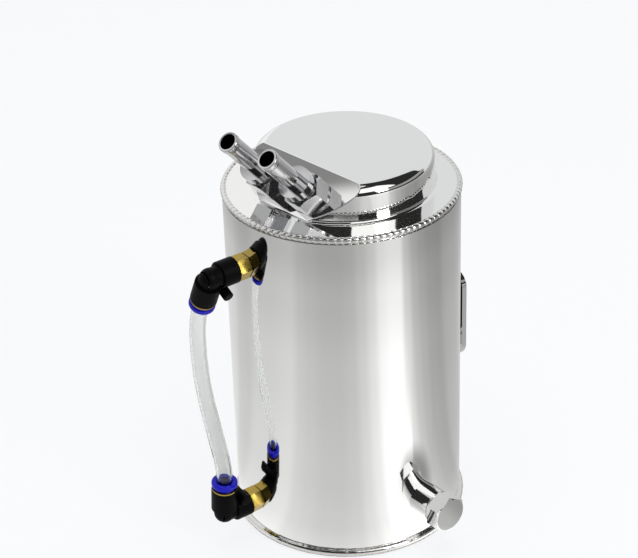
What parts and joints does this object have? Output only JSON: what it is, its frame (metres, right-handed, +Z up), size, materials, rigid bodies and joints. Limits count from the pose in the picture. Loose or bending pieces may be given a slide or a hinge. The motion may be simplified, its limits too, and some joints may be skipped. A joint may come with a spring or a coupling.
{
  "type": "oil catch can",
  "caption": "Round welded catch can with a raised head, angled hose tails, a clear sight tube between push-in elbows, a drain plug and a bolt-on bracket.",
  "frame": {"origin": "centre of the base plate's underside", "axes": "+Z up along the can, +Y to the bracket on the back, +X to the drain plug, -Y to the sight gauge"},
  "size_m": [0.1371, 0.1489, 0.2236],
  "materials": {
    "polished_aluminium": "mirror-polished",
    "weld_aluminium": "bright, rippled weld",
    "plated_metal": "bright plated",
    "washer_aluminium": "satin",
    "brass": "machined",
    "black_plastic": "moulded, fine grain",
    "blue_plastic": "moulded, glossy",
    "spring_steel": "bright spring temper",
    "black_rubber": "smooth",
    "clear_tube": "clear, glossy"
  },
  "bodies": {
    "can": {"can_body": "polished_aluminium", "base_plate": "polished_aluminium", "top_cap": "polished_aluminium", "drain_bung": "polished_aluminium", "bracket_plate": "polished_aluminium", "bracket_spacer": "polished_aluminium", "top_weld_bead": "weld_aluminium", "base_weld_bead": "weld_aluminium", "inlet_hose_tail": "plated_metal", "outlet_hose_tail": "plated_metal", "inlet_seal": "washer_aluminium", "outlet_seal": "washer_aluminium", "upper_stem": "brass", "lower_stem": "brass", "upper_retainer": "brass", "lower_retainer": "brass", "upper_elbow_body": "black_plastic", "lower_elbow_body": "black_plastic", "upper_grip_ring": "spring_steel", "lower_grip_ring": "spring_steel", "upper_swivel_seal": "black_rubber", "lower_swivel_seal": "black_rubber", "upper_tube_seal": "black_rubber", "lower_tube_seal": "black_rubber", "sight_tube": "clear_tube"},
    "drain_washer": {"drain_washer": "washer_aluminium"},
    "drain_plug": {"drain_plug": "polished_aluminium"},
    "upper_release_collar": {"upper_release_collar": "blue_plastic"},
    "lower_release_collar": {"lower_release_collar": "blue_plastic"}
  },
  "joints": [
    {"name": "drain_travel", "type": "slide", "parent": "can", "child": "drain_washer", "axis": [1, 0, 0], "range_m": [0, 0.012]},
    {"name": "drain_turn", "type": "hinge", "parent": "drain_washer", "child": "drain_plug", "pos_m": [0.0575, 0, 0.026], "axis": [1, 0, 0], "range_deg": [0, 2880]},
    {"name": "upper_collar_press", "type": "slide", "parent": "can", "child": "upper_release_collar", "axis": [0.4298, -0.024, 0.9026], "range_m": [0, 0.0012], "stiffness_N_per_m": 500},
    {"name": "lower_collar_press", "type": "slide", "parent": "can", "child": "lower_release_collar", "axis": [-0.087, 0.0049, -0.9962], "range_m": [0, 0.0012], "stiffness_N_per_m": 500}
  ],
  "couplings": [
    {"joint": "drain_travel", "follows": "drain_turn", "m_per_rad": 0.00023873}
  ]
}
